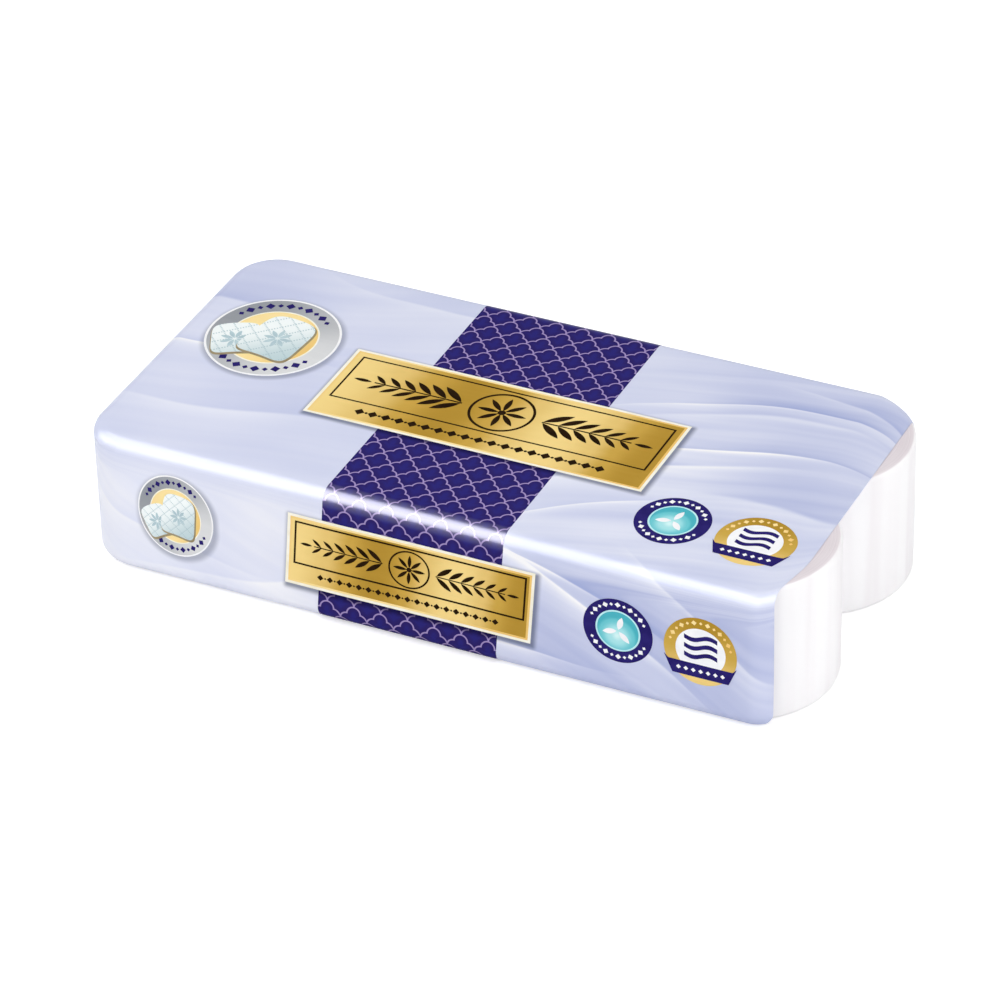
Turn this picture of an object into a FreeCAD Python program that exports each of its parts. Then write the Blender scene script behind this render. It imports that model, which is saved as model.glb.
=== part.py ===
import FreeCAD, Part
import math
import os

import Sketcher

# Toilet paper roll pack: eight rolls standing on end, four long and two deep, in a printed film.
# The film is folded shut over the left end and open at the right end, where two rolls stand out.
# X runs along the pack, Y from front to back and Z up, in millimetres.
# The origin is at the middle of the pack's footprint, on the surface that it stands on.

COLUMNS = 4
ROWS = ("front", "back")

DIMENSIONS = {
    # One roll of wound tissue on its cardboard core
    "roll_radius": 62.0,
    "roll_height": 97.0,
    "roll_edge_round": 3.0,
    # How far each roll is pressed flat where it meets its neighbour or the film
    "roll_nip": 1.0,
    "core_radius": 21.0,
    "core_wall": 0.8,
    "core_clearance": 0.1,
    # The film, much thicker than the real one, and its ease over the rolls
    "film_wall": 0.5,
    "film_clearance": 0.2,
    "film_edge_round": 10.0,
    "film_corner_radius": 32.0,
    # From the centre line of the end rolls to the film's cut edge
    "mouth_reach": 47.0,
    # Folded flaps over the closed end: the lap of one over the other
    "flap_overlap": 12.0,
    # Lap seam that runs along the back
    "seam_width": 16.0,
    "seam_rise": 20.0,
}

# Sizes that follow from the driving dimensions
DERIVED = {
    "pitch": "2 * (sizes.roll_radius - sizes.roll_nip)",
    "bore_radius": "sizes.core_radius + sizes.core_clearance",
    "grid_length": f"{COLUMNS - 0.5} * derived.pitch",
    "grid_half_depth": f"{len(ROWS)} * derived.pitch / 2",
    "film_reach": "sizes.film_wall + sizes.film_clearance",
    "film_height": "2 * sizes.film_wall + sizes.film_clearance + sizes.roll_height",
    "film_half_depth": "derived.grid_half_depth + derived.film_reach",
    "film_left": "derived.grid_length + derived.film_reach",
    "flap_layers": "2 * sizes.film_wall",
    "end_x": "(derived.film_left + derived.flap_layers - sizes.roll_radius) / 2",
    "axis_y": "-sizes.film_wall / 2",
}

# A sketch's origin as constraints name it, and its horizontal axis
ORIGIN_POINT = (-1, 1)
HORIZONTAL_AXIS = -1
CENTRE = 3
START = 1
END = 2
QUARTER = math.pi / 2
UP = FreeCAD.Vector(0, 0, 1)
# An edge whose height varies by less than this lies level
LEVEL = 1e-6

doc = FreeCAD.newDocument("toilet_paper_roll_pack")


def make_sheet():
    sheet = doc.addObject("Spreadsheet::Sheet", "sizes")
    for row, (alias, number) in enumerate(DIMENSIONS.items(), start=1):
        sheet.set(f"A{row}", alias)
        sheet.set(f"B{row}", str(number))
        sheet.setAlias(f"B{row}", alias)
    doc.recompute()
    return sheet


def make_derived():
    derived = doc.addObject("App::VarSet", "derived")
    for name in DERIVED:
        derived.addProperty("App::PropertyFloat", name)
    for name, expression in DERIVED.items():
        derived.setExpression(name, expression)
    doc.recompute()
    return derived


make_sheet()
worked = make_derived()


def place(piece, x, y, z):
    piece.setExpression(".Placement.Base.x", x)
    piece.setExpression(".Placement.Base.y", y)
    piece.setExpression(".Placement.Base.z", z)


def bind(sketch, constraint, expression):
    index = sketch.addConstraint(constraint)
    sketch.setExpression(f"Constraints[{index}]", expression)


def new_body(label):
    body = doc.addObject("PartDesign::Body", label)
    body.Label = label
    return body


def new_sketch(body, name, role):
    sketch = body.newObject("Sketcher::SketchObject", name)
    plane = next(item for item in body.Origin.OriginFeatures if item.Role == role)
    sketch.AttachmentSupport = [(plane, "")]
    sketch.MapMode = "FlatFace"
    return sketch


def new_pad(body, sketch, name, length):
    pad = body.newObject("PartDesign::Pad", name)
    pad.Profile = sketch
    pad.setExpression("Length", length)
    sketch.Visibility = False
    doc.recompute()
    return pad


def number(expression):
    return float(worked.evalExpression(expression))


def rim_edges(feature, shortest=0):
    """Names of the level edges that span more than the shortest length along X or Y."""
    names = []
    for index, edge in enumerate(feature.Shape.Edges, start=1):
        box = edge.BoundBox
        if box.ZLength < LEVEL and max(box.XLength, box.YLength) > shortest:
            names.append(f"Edge{index}")
    return names


def new_fillet(body, feature, edges, name, radius):
    fillet = body.newObject("PartDesign::Fillet", name)
    fillet.Base = (feature, edges)
    fillet.setExpression("Radius", radius)
    doc.recompute()
    return fillet


def line(start_x, start_y, end_x, end_y):
    return Part.LineSegment(FreeCAD.Vector(start_x, start_y, 0), FreeCAD.Vector(end_x, end_y, 0))


def circle(centre_x, centre_y, radius):
    return Part.Circle(FreeCAD.Vector(centre_x, centre_y, 0), UP, radius)


def arc(centre_x, centre_y, radius, start, end):
    return Part.ArcOfCircle(circle(centre_x, centre_y, radius), start, end)


def pack_outline(body, name, growth):
    """Plan of the pack about the end rolls' centre line: a bullet with two rounded corners."""
    left = f"derived.grid_length + {growth}"
    end_radius = f"derived.grid_half_depth + {growth}"
    corner = f"sizes.film_corner_radius - derived.film_reach + {growth}"
    x = -number(left)
    y = number(end_radius)
    r = number(corner)
    sketch = new_sketch(body, name, "XY_Plane")
    front = sketch.addGeometry(line(x + r, -y, 0, -y))
    end = sketch.addGeometry(arc(0, 0, y, -QUARTER, QUARTER))
    back = sketch.addGeometry(line(0, y, x + r, y))
    back_corner = sketch.addGeometry(arc(x + r, y - r, r, QUARTER, 2 * QUARTER))
    side = sketch.addGeometry(line(x, y - r, x, r - y))
    front_corner = sketch.addGeometry(arc(x + r, r - y, r, 2 * QUARTER, 3 * QUARTER))
    loop = (front, end, back, back_corner, side, front_corner)
    for first, second in zip(loop, loop[1:] + loop[:1]):
        sketch.addConstraint(Sketcher.Constraint("Tangent", first, END, second, START))
    sketch.addConstraint(Sketcher.Constraint("Horizontal", front))
    sketch.addConstraint(Sketcher.Constraint("Horizontal", back))
    sketch.addConstraint(Sketcher.Constraint("Vertical", side))
    sketch.addConstraint(Sketcher.Constraint("Coincident", end, CENTRE, *ORIGIN_POINT))
    sketch.addConstraint(Sketcher.Constraint("Equal", back_corner, front_corner))
    bind(sketch, Sketcher.Constraint("Radius", end, y), end_radius)
    bind(sketch, Sketcher.Constraint("Radius", front_corner, r), corner)
    bind(sketch, Sketcher.Constraint("DistanceX", side, START, *ORIGIN_POINT, -x), left)
    return sketch


def pack_block(label, growth, base, height):
    """A level slab of the pack's plan."""
    body = new_body(label)
    sketch = pack_outline(body, f"{label}_plan", growth)
    pad = new_pad(body, sketch, f"{label}_pad", height)
    place(body, "derived.end_x", "derived.axis_y", base)
    return body, pad


def rounded_block(label, growth, base, height, edge_round):
    """The same slab with its upper and lower edges rounded."""
    body, pad = pack_block(label, growth, base, height)
    new_fillet(body, pad, rim_edges(pad), f"{label}_edges", edge_round)
    return body


def end_flap(label, root, fold, thickness):
    """One folded flap on the closed end, its root at a rounded edge and its tip past mid height.

    fold is 1 for a flap that is folded up and -1 for one that is folded down. Its sides slope at 45 degrees.
    """
    root_half = "derived.film_half_depth - sizes.film_corner_radius"
    drop = "(derived.film_height + sizes.flap_overlap) / 2 - sizes.film_edge_round"
    tip_half = f"{root_half} - ({drop})"
    wide = number(root_half)
    narrow = number(tip_half)
    fall = fold * number(drop)
    body = new_body(label)
    sketch = new_sketch(body, f"{label}_outline", "YZ_Plane")
    base = sketch.addGeometry(line(-wide, 0, wide, 0))
    right = sketch.addGeometry(line(wide, 0, narrow, fall))
    tip = sketch.addGeometry(line(narrow, fall, -narrow, fall))
    left = sketch.addGeometry(line(-narrow, fall, -wide, 0))
    for first, second in ((base, right), (right, tip), (tip, left), (left, base)):
        sketch.addConstraint(Sketcher.Constraint("Coincident", first, END, second, START))
    sketch.addConstraint(Sketcher.Constraint("PointOnObject", base, START, HORIZONTAL_AXIS))
    sketch.addConstraint(Sketcher.Constraint("PointOnObject", base, END, HORIZONTAL_AXIS))
    sketch.addConstraint(Sketcher.Constraint("Horizontal", tip))
    bind(sketch, Sketcher.Constraint("DistanceX", base, START, *ORIGIN_POINT, wide), root_half)
    bind(sketch, Sketcher.Constraint("DistanceX", *ORIGIN_POINT, base, END, wide), root_half)
    bind(sketch, Sketcher.Constraint("DistanceX", *ORIGIN_POINT, tip, START, narrow), tip_half)
    bind(sketch, Sketcher.Constraint("DistanceX", tip, END, *ORIGIN_POINT, narrow), tip_half)
    bind(sketch, Sketcher.Constraint("DistanceY", *ORIGIN_POINT, tip, START, fall), f"{fold} * ({drop})")
    pad = new_pad(body, sketch, f"{label}_pad", thickness)
    pad.Reversed = True
    place(body, "derived.end_x - derived.film_left", "derived.axis_y", root)
    return body


def boolean(kind, label, pieces):
    joined = doc.addObject(kind, label)
    joined.Label = label
    joined.Shapes = pieces
    doc.recompute()
    return joined


def cut(label, base, tool):
    piece = doc.addObject("Part::Cut", label)
    piece.Label = label
    piece.Base = base
    piece.Tool = tool
    doc.recompute()
    return piece


def new_box(label, length, width, height):
    box = doc.addObject("Part::Box", label)
    box.setExpression("Length", length)
    box.setExpression("Width", width)
    box.setExpression("Height", height)
    return box


def seam_layer():
    """One more layer of film along the back and round the back corner, where the tube is lapped."""
    growth = "derived.film_reach + sizes.film_wall"
    layer = pack_block("seam_slab", growth, "sizes.seam_rise", "sizes.seam_width")[0]
    band = new_box("seam_band", "2 * derived.film_left", "derived.film_half_depth", "sizes.seam_width")
    place(
        band,
        "derived.end_x - derived.film_left - sizes.film_wall",
        "derived.axis_y + derived.film_half_depth - sizes.film_corner_radius",
        "sizes.seam_rise",
    )
    return boolean("Part::MultiCommon", "seam_layer", [layer, band])


def wrap_film():
    """The film: a hollow block, open past the mouth, with its seam and its folded flaps."""
    outside = rounded_block(
        "film_outside",
        "derived.film_reach",
        "0",
        "derived.film_height",
        "sizes.film_edge_round",
    )
    cavity = rounded_block(
        "film_cavity",
        "sizes.film_clearance",
        "sizes.film_wall",
        "derived.film_height - 2 * sizes.film_wall",
        "sizes.film_edge_round - sizes.film_wall",
    )
    with_seam = boolean("Part::MultiFuse", "film_with_seam", [outside, seam_layer()])
    shell = cut("film_shell", with_seam, cavity)
    beyond_mouth = new_box(
        "beyond_mouth",
        "derived.film_half_depth",
        "3 * derived.film_half_depth",
        "2 * derived.film_height",
    )
    place(
        beyond_mouth,
        "derived.end_x + sizes.mouth_reach",
        "derived.axis_y - 1.5 * derived.film_half_depth",
        "-derived.film_height / 2",
    )
    tube = cut("film_tube", shell, beyond_mouth)
    upper_root = "derived.film_height - sizes.film_edge_round"
    upper_flap = end_flap("upper_flap", upper_root, -1, "sizes.film_wall")
    lower_flap = end_flap("lower_flap", "sizes.film_edge_round", 1, "derived.flap_layers")
    return boolean("Part::MultiFuse", "wrap_film", [tube, upper_flap, lower_flap])


def tube_body(label, outer, inner, height):
    """An upright tube about its own axis."""
    body = new_body(label)
    sketch = new_sketch(body, f"{label}_rings", "XY_Plane")
    for radius in (outer, inner):
        ring = sketch.addGeometry(circle(0, 0, number(radius)))
        sketch.addConstraint(Sketcher.Constraint("Coincident", ring, CENTRE, *ORIGIN_POINT))
        bind(sketch, Sketcher.Constraint("Radius", ring, number(radius)), radius)
    pad = new_pad(body, sketch, f"{label}_pad", height)
    return body, pad


def roll_position(column, row):
    x = f"derived.end_x - {COLUMNS - column} * derived.pitch"
    y = f"derived.axis_y + {row - (len(ROWS) - 1) / 2} * derived.pitch"
    return x, y


def paper_roll(column, row, packed):
    """One roll's wound tissue, pressed flat against its neighbours and rounded by the film."""
    name = f"{ROWS[row]}_{column}"
    x, y = roll_position(column, row)
    body, pad = tube_body(f"turns_{name}", "sizes.roll_radius", "derived.bore_radius", "sizes.roll_height")
    wider_than_bore = number("sizes.roll_radius + derived.bore_radius")
    new_fillet(body, pad, rim_edges(pad, wider_than_bore), f"edges_{name}", "sizes.roll_edge_round")
    place(body, x, y, "sizes.film_wall")
    right_side = "sizes.roll_radius" if column == COLUMNS else "derived.pitch / 2"
    cell = new_box(f"cell_{name}", f"derived.pitch / 2 + {right_side}", "derived.pitch", "sizes.roll_height")
    place(cell, f"{x} - derived.pitch / 2", f"{y} - derived.pitch / 2", "sizes.film_wall")
    return boolean("Part::MultiCommon", f"roll_{name}", [body, cell, packed])


def cardboard_core(column, row):
    x, y = roll_position(column, row)
    inner = "sizes.core_radius - sizes.core_wall"
    body = tube_body(f"core_{ROWS[row]}_{column}", "sizes.core_radius", inner, "sizes.roll_height")[0]
    place(body, x, y, "sizes.film_wall")
    return body


def check(pieces):
    doc.recompute()
    for item in doc.Objects:
        if "Invalid" in item.State or "Error" in item.State:
            raise RuntimeError(f"{item.Label} did not recompute")
    for piece in pieces:
        if piece.Shape.isNull() or not piece.Shape.isValid() or len(piece.Shape.Solids) != 1:
            raise RuntimeError(f"{piece.Label} is not one sound solid")


def export(pieces):
    os.makedirs("parts", exist_ok=True)
    for piece in pieces:
        piece.Shape.exportStep(f"parts/{piece.Label}.step")
        print(piece.Label, round(piece.Shape.Volume), "cubic mm")


packed_space = rounded_block(
    "packed_space",
    "0",
    "sizes.film_wall",
    "sizes.roll_height",
    "sizes.film_edge_round - derived.film_reach",
)
pieces = [wrap_film()]
for row in range(len(ROWS)):
    for column in range(1, COLUMNS + 1):
        pieces.append(paper_roll(column, row, packed_space))
        pieces.append(cardboard_core(column, row))
check(pieces)
export(pieces)
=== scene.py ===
import math

import bpy
from mathutils import Matrix, Vector, noise


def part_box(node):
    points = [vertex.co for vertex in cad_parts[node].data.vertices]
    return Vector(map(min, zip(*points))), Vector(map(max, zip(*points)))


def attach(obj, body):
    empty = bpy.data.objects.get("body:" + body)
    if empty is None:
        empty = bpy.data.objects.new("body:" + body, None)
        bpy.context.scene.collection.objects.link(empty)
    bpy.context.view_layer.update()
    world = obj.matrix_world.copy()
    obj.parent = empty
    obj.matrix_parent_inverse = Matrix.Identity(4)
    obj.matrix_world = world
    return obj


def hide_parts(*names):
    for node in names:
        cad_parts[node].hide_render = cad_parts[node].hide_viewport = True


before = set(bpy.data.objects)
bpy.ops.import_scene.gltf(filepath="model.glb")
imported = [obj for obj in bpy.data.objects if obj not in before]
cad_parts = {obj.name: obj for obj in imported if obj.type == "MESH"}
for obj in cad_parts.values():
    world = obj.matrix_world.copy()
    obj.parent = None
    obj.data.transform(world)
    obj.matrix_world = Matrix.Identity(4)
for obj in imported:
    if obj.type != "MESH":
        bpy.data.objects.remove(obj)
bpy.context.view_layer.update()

# A block of toilet rolls in printed film, in metres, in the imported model's frame.
# The print is drawn flat, as on the film before it is wrapped, and then laid on the block:
# x runs along the pack and v round its girth, 0 at the middle of the top and negative towards the front.

MM = 0.001
BODY = "root"
HAIR = 0.01 * MM

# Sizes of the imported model
film_low, film_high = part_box("wrap_film")
end_roll_low, end_roll_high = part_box("roll_front_4")
PITCH = end_roll_high.y - end_roll_low.y
END_X = end_roll_low.x + PITCH / 2
ROLL_BOTTOM = end_roll_low.z
ROLL_TOP = end_roll_high.z
ROLL_RADIUS = end_roll_high.x - END_X
SEAM_LAYER = 0.5 * MM
FLAP_LAYERS = 1.0 * MM
AXIS_Y = (film_low.y + film_high.y - SEAM_LAYER) / 2

# The drawn rolls: their rounded edge, the soft change to their ends, their ripples and their turns' ridges
ROLL_EDGE = 3.0 * MM
ROLL_BLEND = 1.2 * MM
ROLL_SKIN = 4.0 * MM
ROLL_RIPPLE = 0.22 * MM
RIDGE_PITCH = 3.1 * MM
RIDGE_MARGIN = 1.0 * MM
ROLL_SIDES = 160
ROLL_RINGS = 14
# The room between a roll and the film, and between a roll and its core
ROLL_ROOM = 0.15 * MM
CORE_ROOM = 0.1 * MM

# The drawn film is thin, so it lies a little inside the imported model's thick one
GIVE = 0.3 * MM
FILM_THICKNESS = 0.2 * MM
TOP = film_high.z - GIVE
BOTTOM = film_low.z + 0.12 * MM
LEFT = film_low.x + FLAP_LAYERS + GIVE
MOUTH = film_high.x
HALF = (film_high.y - film_low.y - SEAM_LAYER) / 2 - GIVE
EDGE = 10.0 * MM - GIVE
CORNER = 32.0 * MM - GIVE
EDGE_STEPS = 12
CORNER_STEPS = 16

# Lengths round the girth
FLAT = HALF - EDGE
ARC = EDGE * math.pi / 2
WALL = TOP - BOTTOM - 2 * EDGE
FRONT_TOP = -(FLAT + ARC)
BACK_TOP = FLAT + ARC
GRID = 8.0 * MM

# The lap seam on the back, and the flaps that are folded over the closed end
SEAM_DEPTH = 16.0 * MM
SEAM_RISE = 0.28 * MM
SEAM_V = BACK_TOP + TOP - EDGE - 28.0 * MM
FLAP_THICKNESS = 0.1 * MM
FLAP_PUCKER = 0.16 * MM
FLAP_OVERLAP = 6.0 * MM
UPPER_FLAP_STAND = 0.2 * MM
LOWER_FLAP_STAND = 0.5 * MM
FLAP_PRINT_SHIFT = 180.0 * MM

# How far the film sags between the rolls
TOP_SAG = 0.35 * MM
WALL_SAG = 0.45 * MM
SLACK = 0.12 * MM
SLACK_ALONG = 45.0 * MM
SLACK_AROUND = 60.0 * MM

# The open end: how the walls turn in to the rolls, and where the film is cut off
BACK_STAND_OFF = 3.3 * MM
FRONT_TURN_X = END_X + 29.6 * MM
FRONT_TURN_LENGTH = 25.0 * MM
TOP_CUT = END_X + 50.0 * MM
FRONT_CUT = END_X + 44.0 * MM
BOTTOM_CUT = END_X + 34.0 * MM
SLANT_START = 30.0 * MM
SLANT = 40.0 * MM

# The print: the band and its trellis, and how thick each shape is
BAND_LEFT = -70.5 * MM
BAND_RIGHT = 52.5 * MM
TRELLIS_WIDTH = 18.5 * MM
TRELLIS_LENGTH = 20.2 * MM
TRELLIS_START = (-54.9 * MM, 113.5 * MM)
INK = 0.02 * MM
# How far the band and the plate stray to the left for each metre down the front
LEAN = 0.085
# How high the band lies over the film, in mm, as for every lift
BAND_LIFT = 0.03
# The gold plates' edges, beads and frame line
PLATE_BORDER = 2.0 * MM
PLATE_BEVEL = 1.5 * MM
PLATE_BEADS = 19
FRAME_LINE = 1.35 * MM


def front_v(height):
    """Girth coordinate of a height on the front."""
    return FRONT_TOP - (TOP - EDGE - height)


# The plates' middles and sizes, and each badge's middle, radius and how much deeper than wide it is
TOP_PLATE = {"x": -7.0 * MM, "v": -4.2 * MM, "width": 233.0 * MM, "depth": 79.5 * MM,
             "frame_width": 218.6 * MM, "frame_depth": 50.0 * MM, "frame_rise": 7.6 * MM}
FRONT_PLATE = {"x": -9.5 * MM, "v": front_v(50.0 * MM), "width": 169.0 * MM, "depth": 53.5 * MM,
               "frame_width": 158.6 * MM, "frame_depth": 32.7 * MM, "frame_rise": 5.6 * MM}
BADGES = {
    "top": {
        "silver": (-180.4 * MM, 26.0 * MM, 44.0 * MM, 1.06),
        "aqua": (140.2 * MM, -65.3 * MM, 23.8 * MM, 1.06),
        "layers": (194.4 * MM, -66.3 * MM, 24.4 * MM, 1.06),
    },
    "front": {
        "silver": (-175.3 * MM, front_v(52.2 * MM), 26.6 * MM, 1.13),
        "aqua": (128.4 * MM, front_v(49.4 * MM), 23.1 * MM, 1.0),
        "layers": (183.2 * MM, front_v(49.4 * MM), 24.4 * MM, 1.0),
    },
}

# Satin folds in mm: middle, height, slope, bend per metre, reach, width, darkness, brightness
SATIN_FOLDS = [
    (165, 76, 0.22, -1.5, 120, 10, 0.50, 0.42),
    (150, 60, 0.30, -1.7, 100, 26, 0.26, 0.20),
    (160, 22, 0.26, -1.6, 105, 9, 0.42, 0.60),
    (120, -8, 0.44, -1.5, 90, 18, 0.20, 0.40),
    (196, -24, 0.02, -1.0, 80, 30, 0.40, 0.10),
    (95, -58, 0.52, -1.6, 70, 9, 0.10, 0.40),
    (215, 98, -0.10, -0.8, 70, 16, 0.26, 0.26),
    (-222, 62, 0.14, -0.6, 70, 24, 0.34, 0.10),
    (-206, 8, 0.10, -0.9, 80, 10, 0.30, 0.36),
    (-150, -62, 0.24, 0.9, 110, 24, 0.14, 0.22),
    (-70, 98, -0.10, 1.0, 110, 18, 0.12, 0.18),
    (100, -140, -0.46, -0.8, 90, 11, 0.20, 0.66),
    (132, -172, -0.62, 0.8, 90, 14, 0.18, 0.60),
    (200, -158, -0.70, 1.2, 70, 18, 0.14, 0.36),
    (64, -196, -0.10, 0.5, 80, 8, 0.16, 0.56),
    (-190, -180, -0.24, 1.0, 90, 18, 0.14, 0.08),
    (-118, -196, 0.20, 0.8, 100, 16, 0.08, 0.12),
    (140, 168, 0.24, -1.0, 130, 15, 0.34, 0.44),
    (180, 196, 0.30, -0.8, 90, 12, 0.24, 0.40),
    (-120, 176, -0.22, 1.0, 130, 15, 0.26, 0.34),
    (60, 262, 0.12, -0.6, 150, 17, 0.34, 0.44),
    (-140, -256, 0.12, -0.6, 150, 17, 0.28, 0.40),
]
SATIN_STOPS = [
    (0.0, (166, 177, 220)),
    (0.25, (189, 196, 228)),
    (0.5, (209, 214, 238)),
    (0.75, (229, 232, 247)),
    (1.0, (252, 252, 254)),
]

# How strongly the film shines, where it is flat and where it is stretched over its upper edges
FLAT_SHINE = 0.004
INK_SHINE = 0.98
SATIN_SHINE = 0.27
BACK_EDGE_SHINE = 0.1
CRINKLE_STRENGTH = 0.14

# The shadows that are printed round the plates and the silver badges
PLATE_SHADOW = 0.8
BADGE_SHADOW = 0.48
SHADOW_SHIFT = (1.3 * MM, -1.6 * MM)


# Wrapping the flat print round the block

def section(v):
    """Point and outward normal of the girth at v, in Y and Z, before the block narrows at its mouth."""
    side = math.copysign(1, v)
    run = abs(v)
    if run <= FLAT:
        return v, TOP, 0.0, 1.0
    if run <= FLAT + ARC:
        turn = (run - FLAT) / EDGE
        sine, cosine = math.sin(turn), math.cos(turn)
        return side * (FLAT + EDGE * sine), TOP - EDGE + EDGE * cosine, side * sine, cosine
    if run <= FLAT + ARC + WALL:
        return side * HALF, TOP - EDGE - (run - FLAT - ARC), side, 0.0
    if run <= FLAT + 2 * ARC + WALL:
        turn = (run - FLAT - ARC - WALL) / EDGE
        sine, cosine = math.sin(turn), math.cos(turn)
        return side * (FLAT + EDGE * cosine), BOTTOM + EDGE - EDGE * sine, side * cosine, -sine
    return side * (2 * FLAT + 2 * ARC + WALL - run), BOTTOM, 0.0, -1.0


def girth(y, z):
    """The girth coordinate of a point on the block, the inverse of section."""
    side = math.copysign(1, y)
    reach = abs(y)
    if z > TOP - EDGE:
        if reach <= FLAT:
            return y
        return side * (FLAT + EDGE * math.atan2(reach - FLAT, z - TOP + EDGE))
    if z >= BOTTOM + EDGE:
        return side * (FLAT + ARC + TOP - EDGE - z)
    if reach > FLAT:
        return side * (FLAT + ARC + WALL + EDGE * math.atan2(BOTTOM + EDGE - z, reach - FLAT))
    return side * (FLAT + 2 * ARC + WALL + FLAT - reach)


def narrowing(x, side):
    """The share of its full depth that the block keeps at x, where the film closes in on the end rolls."""
    if side > 0:
        past = min(max(0.0, x - END_X), ROLL_RADIUS)
        drawn_in = max(0.0, ROLL_RADIUS - math.sqrt(ROLL_RADIUS ** 2 - past ** 2) - BACK_STAND_OFF)
    else:
        drawn_in = max(0.0, x - FRONT_TURN_X) ** 2 / FRONT_TURN_LENGTH
    return 1 - drawn_in / HALF


def smooth(share):
    """A share from 0 to 1 that starts and ends gently."""
    share = min(1.0, max(0.0, share))
    return share * share * (3 - 2 * share)


def cut_place(v):
    """Where the film is cut off at v: a little further out on the top than on the front and the bottom."""
    under = smooth((abs(v) - FLAT - ARC - WALL) / (2 * EDGE))
    front = smooth((-v - FLAT + SLANT_START) / SLANT)
    side_cut = TOP_CUT + (FRONT_CUT - TOP_CUT) * front
    return side_cut + (BOTTOM_CUT - side_cut) * under


def along_film(x, v):
    """The place along the pack of a flat point, with the film's end pulled to its cut line."""
    share = max(0.0, x - END_X) / (MOUTH - END_X)
    return x + (cut_place(v) - MOUTH) * share * share


def sag(x, v):
    """How far the film lies inside the block's face: between the rolls, and a little slack."""
    clear_of_corner = smooth((x - LEFT - CORNER) / (2 * EDGE))
    between = 0.5 - 0.5 * math.cos(2 * math.pi * (x - END_X) / PITCH)
    run = abs(v)
    depth = 0.0
    if run < FLAT:
        across = 0.5 + 0.5 * math.cos(2 * math.pi * v / PITCH)
        depth = TOP_SAG * between * across * smooth((FLAT - run) / PITCH * 4)
    elif FLAT + ARC < run < FLAT + ARC + WALL:
        depth = WALL_SAG * between * math.sin(math.pi * (run - FLAT - ARC) / WALL)
    drift = 0.5 + 0.5 * noise.noise(Vector((x / SLACK_ALONG, v / SLACK_AROUND, 0.0)))
    return clear_of_corner * (depth + SLACK * drift)


def wrapped(x, v, lift=0.0):
    """The point of the block where the flat film's point x, v comes to lie."""
    y, z, across, up = section(v)
    rise = lift - sag(x, v)
    x = along_film(x, v)
    return Vector((x, AXIS_Y + narrowing(x, v) * (y + across * rise), z + up * rise))


def stray(v):
    """How far the band and the plate lie to the left of straight: more down the front, less again below."""
    down = min(max(FRONT_TOP - v, 0.0), WALL)
    below = min(max(FRONT_TOP - WALL - ARC - v, 0.0), FLAT) / FLAT
    return LEAN * down * (1.0 - below)


def steps(low, high, count):
    return [low + (high - low) * index / count for index in range(1, count)]


def crease_lines():
    """Where the film's faces are divided, along the pack and round its girth."""
    along = steps(LEFT, END_X, round((END_X - LEFT) / GRID))
    along += [END_X] + steps(END_X, MOUTH, round(3 * (MOUTH - END_X) / GRID))
    across = steps(-FLAT, FLAT, 2 * round(FLAT / GRID))
    down = steps(0, WALL, round(WALL / GRID))
    walls = [side * (BACK_TOP + run) for side in (-1, 1) for run in down]
    edges = [side * (FLAT + start + ARC * index / EDGE_STEPS)
             for side in (-1, 1) for start in (0, ARC + WALL) for index in range(EDGE_STEPS + 1)]
    return along, across, walls, edges


ALONG, ACROSS, WALLS, EDGES = crease_lines()


# Modelling steps

def deselect():
    for piece in bpy.context.selected_objects:
        piece.select_set(False)


def choose(piece):
    deselect()
    piece.select_set(True)
    bpy.context.view_layer.objects.active = piece


def take(name):
    """The object that an operator has just added, under its own name."""
    piece = bpy.context.object
    piece.name = name
    piece.data.name = name
    return piece


def set_place(piece):
    choose(piece)
    bpy.ops.object.transform_apply(location=True, rotation=True, scale=True)
    return piece


def edit(piece, kind="FACE", test=None):
    """Enter edit mode with all selected, or only the elements whose corners pass the test."""
    choose(piece)
    bpy.ops.object.mode_set(mode="EDIT")
    bpy.ops.mesh.select_mode(type=kind)
    bpy.ops.mesh.select_all(action="SELECT" if test is None else "DESELECT")
    if test is not None:
        bpy.ops.object.mode_set(mode="OBJECT")
        mesh = piece.data
        for element in mesh.polygons if kind == "FACE" else mesh.edges:
            element.select = test([mesh.vertices[index].co for index in element.vertices])
        bpy.ops.object.mode_set(mode="EDIT")


def leave():
    bpy.ops.object.mode_set(mode="OBJECT")


def round_edges(piece, test, radius, segments):
    edit(piece, "EDGE", test)
    bpy.ops.mesh.bevel(offset=radius, segments=segments, profile=0.5, affect="EDGES")
    leave()


def turn_over(piece):
    edit(piece)
    bpy.ops.mesh.flip_normals()
    leave()


def divide(piece, axis, places):
    """Cut all of a piece's faces along planes square to an axis."""
    low = min(vertex.co[axis] for vertex in piece.data.vertices)
    high = max(vertex.co[axis] for vertex in piece.data.vertices)
    normal = [0.0, 0.0, 0.0]
    normal[axis] = 1.0
    edit(piece)
    for place in places:
        if low + HAIR < place < high - HAIR:
            point = [0.0, 0.0, 0.0]
            point[axis] = place
            bpy.ops.mesh.select_all(action="SELECT")
            bpy.ops.mesh.bisect(plane_co=point, plane_no=normal)
    leave()


def thicken(piece, thickness, offset):
    solid = piece.modifiers.new("wall", "SOLIDIFY")
    solid.thickness = thickness
    solid.offset = offset
    choose(piece)
    bpy.ops.object.modifier_apply(modifier=solid.name)


def keep_coordinates(piece, name, coordinate):
    """Store a coordinate for each vertex, for the materials to read."""
    layer = piece.data.attributes.new(name, "FLOAT_VECTOR", "POINT")
    for vertex, item in zip(piece.data.vertices, layer.data):
        item.vector = coordinate(vertex.co)


def finished(piece, material, slot, *replaced):
    """Smooth a piece, give it its material and hand it to the frame."""
    choose(piece)
    bpy.ops.object.shade_smooth_by_angle(angle=math.radians(32))
    piece.data.materials.clear()
    piece.data.materials.append(material)
    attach(piece, BODY)
    if replaced:
        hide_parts(*replaced)
    return piece


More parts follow.
